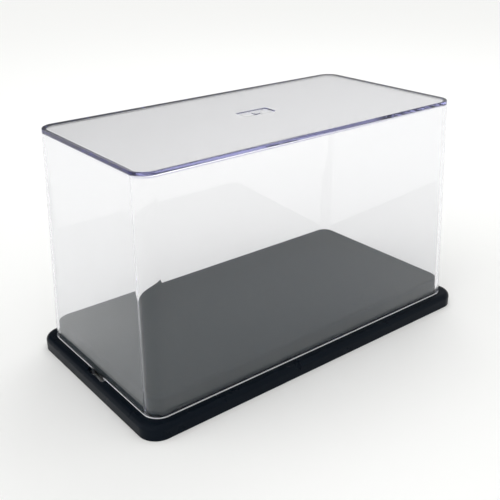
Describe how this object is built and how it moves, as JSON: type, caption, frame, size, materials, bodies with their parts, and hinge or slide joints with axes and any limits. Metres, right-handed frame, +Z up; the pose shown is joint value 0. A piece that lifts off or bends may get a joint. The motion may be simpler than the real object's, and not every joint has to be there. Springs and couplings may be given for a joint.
{
  "type": "display case",
  "caption": "Rectangular display case: a one-piece clear cover that lifts straight off a low black base with a raised plinth for a scale model.",
  "frame": {"origin": "centre of the footprint, on the surface that the case stands on", "axes": "+X along the long side, +Y along the short side, +Z up, the way the cover lifts off"},
  "size_m": [0.24, 0.128, 0.138],
  "materials": {
    "base_black": "black moulded plastic, fine matt grain on the plinth and satin on the flange",
    "cover_clear": "clear polished moulded polystyrene, faintly violet where seen through its edge"
  },
  "bodies": {
    "base": {"base_tray": "base_black"},
    "cover": {"clear_cover": "cover_clear"}
  },
  "joints": [
    {"name": "cover_lift", "type": "slide", "parent": "base", "child": "cover", "axis": [0, 0, 1], "range_m": [0, 0.14]}
  ]
}
